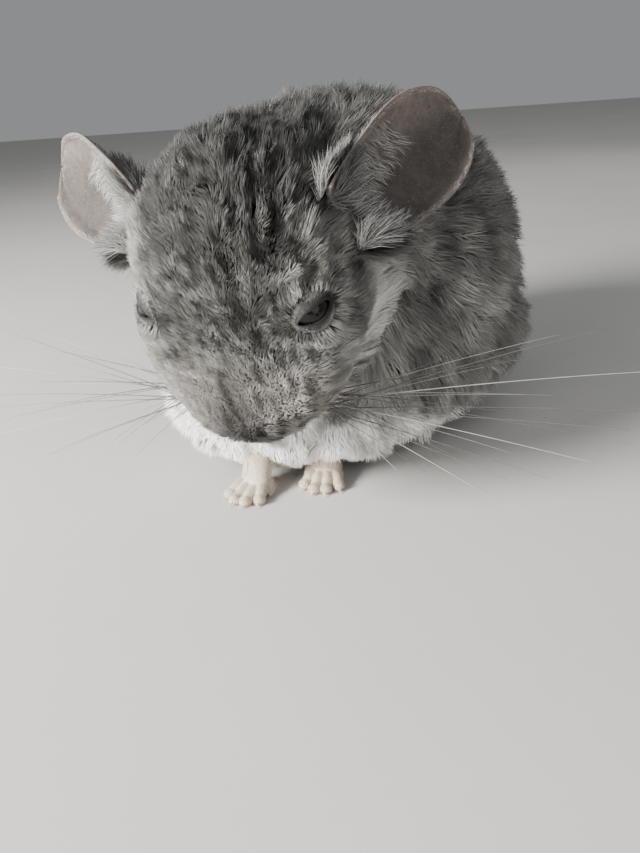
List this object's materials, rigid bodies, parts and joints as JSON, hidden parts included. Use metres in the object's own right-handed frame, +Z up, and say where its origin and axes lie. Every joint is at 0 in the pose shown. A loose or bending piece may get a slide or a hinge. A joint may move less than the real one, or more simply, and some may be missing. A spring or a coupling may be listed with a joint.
{
  "type": "chinchilla",
  "caption": "Life-size grey chinchilla sitting hunched on the floor, head bowed over its forepaws, ears laid back, bushy tail curled behind.",
  "frame": {"origin": "on the floor, under the middle of the bounding box", "axes": "+Z up, the animal faces -Y, its left side is +X"},
  "size_m": [0.232, 0.2522, 0.1286],
  "materials": {
    "grey_coat": "plush fur, slate grey tips over dark",
    "white_coat": "plush fur, off-white",
    "tail_coat": "bristly fur, dark grey",
    "ear_skin": "thin bare skin with fine down",
    "paw_skin": "pale pink skin with short white fur",
    "eye": "wet, glossy black"
  },
  "bodies": {
    "root": {"head": "grey_coat", "neck": "grey_coat", "torso": "grey_coat", "eye_left": "eye", "eye_right": "eye", "ear_left": "ear_skin", "ear_right": "ear_skin", "whisker_pad_left": "grey_coat", "whisker_pad_right": "grey_coat", "hindleg_left": "grey_coat", "hindleg_right": "grey_coat", "hindfoot_left": "paw_skin", "hindfoot_right": "paw_skin", "foreleg_left": "white_coat", "foreleg_right": "white_coat", "forepaw_left": "paw_skin", "forepaw_right": "paw_skin", "tail_root": "tail_coat", "tail_middle": "tail_coat", "tail_tip": "tail_coat"}
  },
  "joints": []
}
